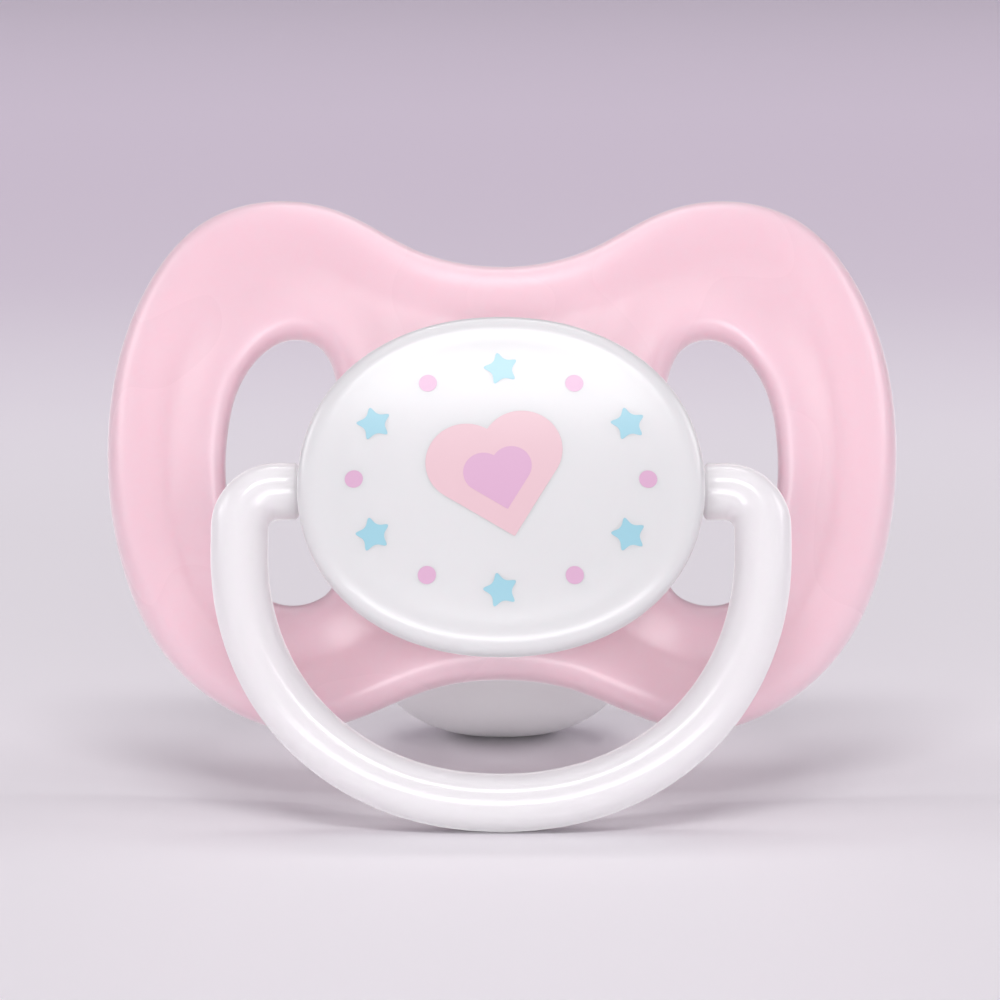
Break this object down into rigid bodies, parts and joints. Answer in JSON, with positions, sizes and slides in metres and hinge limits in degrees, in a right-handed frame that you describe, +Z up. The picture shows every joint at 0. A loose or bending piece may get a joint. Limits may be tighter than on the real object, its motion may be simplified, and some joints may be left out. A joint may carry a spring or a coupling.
{
  "type": "pacifier",
  "caption": "Baby pacifier: butterfly shield with side vents, soft hollow teat behind, printed oval knob in front and a swinging ring handle.",
  "frame": {"origin": "centre of the bounding box on the surface that the pacifier rests on, standing on its ring and its teat", "axes": "+X to the right along the shield's width, +Y towards the teat, +Z up; the shield leans back by 24.1 degrees"},
  "size_m": [0.0502, 0.043, 0.036],
  "materials": {
    "shield": "glossy opaque pastel pink polypropylene",
    "teat": "frosted translucent silicone",
    "plug": "satin white polypropylene",
    "knob": "glossy white polypropylene",
    "print": "glossy in-mould label with pastel nursery print",
    "ring": "glossy milky translucent polypropylene"
  },
  "bodies": {
    "soother": {"shield": "shield", "teat": "teat", "teat_plug": "plug", "knob_base": "knob", "knob_cover": "knob", "print_film": "print"},
    "handle": {"ring": "ring"}
  },
  "joints": [
    {"name": "ring_hinge", "type": "hinge", "parent": "soother", "child": "handle", "pos_m": [0, -0.01178, 0.0196], "axis": [-1, 0, 0], "range_deg": [-22, 195]}
  ]
}
